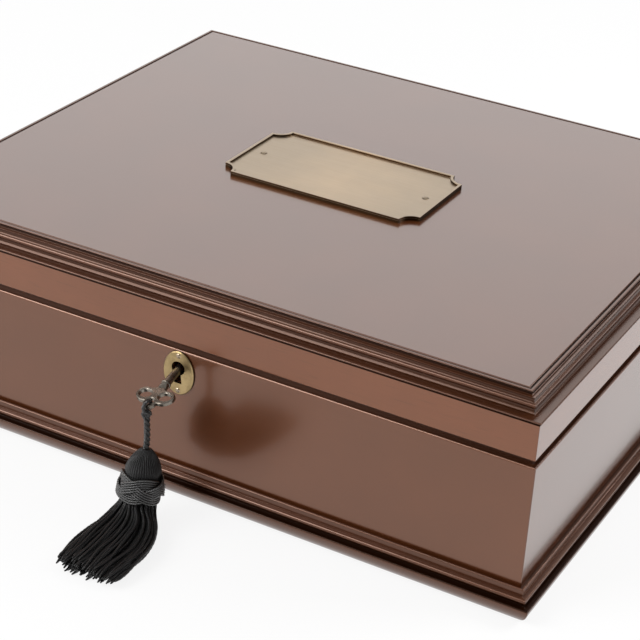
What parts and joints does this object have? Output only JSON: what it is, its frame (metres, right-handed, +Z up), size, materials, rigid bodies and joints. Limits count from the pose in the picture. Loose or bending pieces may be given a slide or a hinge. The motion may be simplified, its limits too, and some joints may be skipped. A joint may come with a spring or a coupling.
{
  "type": "lockable wooden keepsake box",
  "caption": "Lockable wooden box with a moulded lid and plinth, hinged lid, brass nameplate and escutcheon, a half-mortise lock with its key, and a black tassel.",
  "frame": {"origin": "middle of the underside, on the surface that the box stands on", "axes": "+Z up, +X to the right along the box's length, -Y out of the front with the keyhole"},
  "size_m": [0.3576, 0.3813, 0.1061],
  "materials": {
    "walnut": "semi-gloss lacquer",
    "panel_wood": "plain plywood",
    "lining": "velvet",
    "felt": "felt",
    "antique_brass": "satin",
    "polished_brass": "polished",
    "lock_steel": "bright",
    "pewter": "antiqued",
    "black_thread": "rayon thread"
  },
  "bodies": {
    "base": {"base_front": "walnut", "plinth_front": "walnut", "base_right": "walnut", "plinth_right": "walnut", "base_back": "walnut", "plinth_back": "walnut", "base_left": "walnut", "plinth_left": "walnut", "floor_panel": "panel_wood", "floor_lining": "lining", "underside_felt": "felt", "escutcheon": "polished_brass", "escutcheon_pins": "polished_brass", "hinge_screws_base": "polished_brass", "lock_case": "lock_steel", "lock_plate": "polished_brass", "lock_screws": "polished_brass", "bolt_spring": "lock_steel", "hinge_left_base_leaf": "polished_brass", "hinge_left_pin": "polished_brass", "hinge_right_base_leaf": "polished_brass", "hinge_right_pin": "polished_brass"},
    "lid": {"lid_front": "walnut", "lid_right": "walnut", "lid_back": "walnut", "lid_left": "walnut", "lid_top": "walnut", "lid_lining": "lining", "nameplate": "antique_brass", "nameplate_pins": "polished_brass", "hinge_left_lid_leaf": "polished_brass", "hinge_right_lid_leaf": "polished_brass", "hinge_screws_lid": "polished_brass", "strike_plate": "polished_brass", "strike_staples": "lock_steel", "strike_screws": "polished_brass"},
    "key": {"key": "pewter", "tassel_loop": "black_thread"},
    "bolt": {"lock_bolt": "lock_steel"},
    "tassel": {"tassel_knot": "black_thread", "tassel_cord": "black_thread", "tassel_head": "black_thread", "tassel_collar": "black_thread", "tassel_skirt": "black_thread"}
  },
  "joints": [
    {"name": "lid_hinge", "type": "hinge", "parent": "base", "child": "lid", "pos_m": [0, 0.1497, 0.0761], "axis": [-1, 0, 0], "range_deg": [0, 95]},
    {"name": "key_turn", "type": "hinge", "parent": "base", "child": "key", "pos_m": [0, -0.145, 0.06525], "axis": [0, -0.9659, -0.2588], "range_deg": [-97, 83]},
    {"name": "bolt_slide", "type": "slide", "parent": "base", "child": "bolt", "axis": [1, 0, 0], "range_m": [-0.0028, 0.0033]},
    {"name": "tassel_hang", "type": "hinge", "parent": "key", "child": "tassel", "pos_m": [0, -0.17267, 0.05408], "axis": [0, -0.9659, -0.2588], "range_deg": [-83.5, 97.5]}
  ],
  "couplings": [
    {"joint": "bolt_slide", "follows": "key_turn", "m_per_rad": -0.0019099},
    {"joint": "tassel_hang", "follows": "key_turn", "ratio": -1}
  ]
}
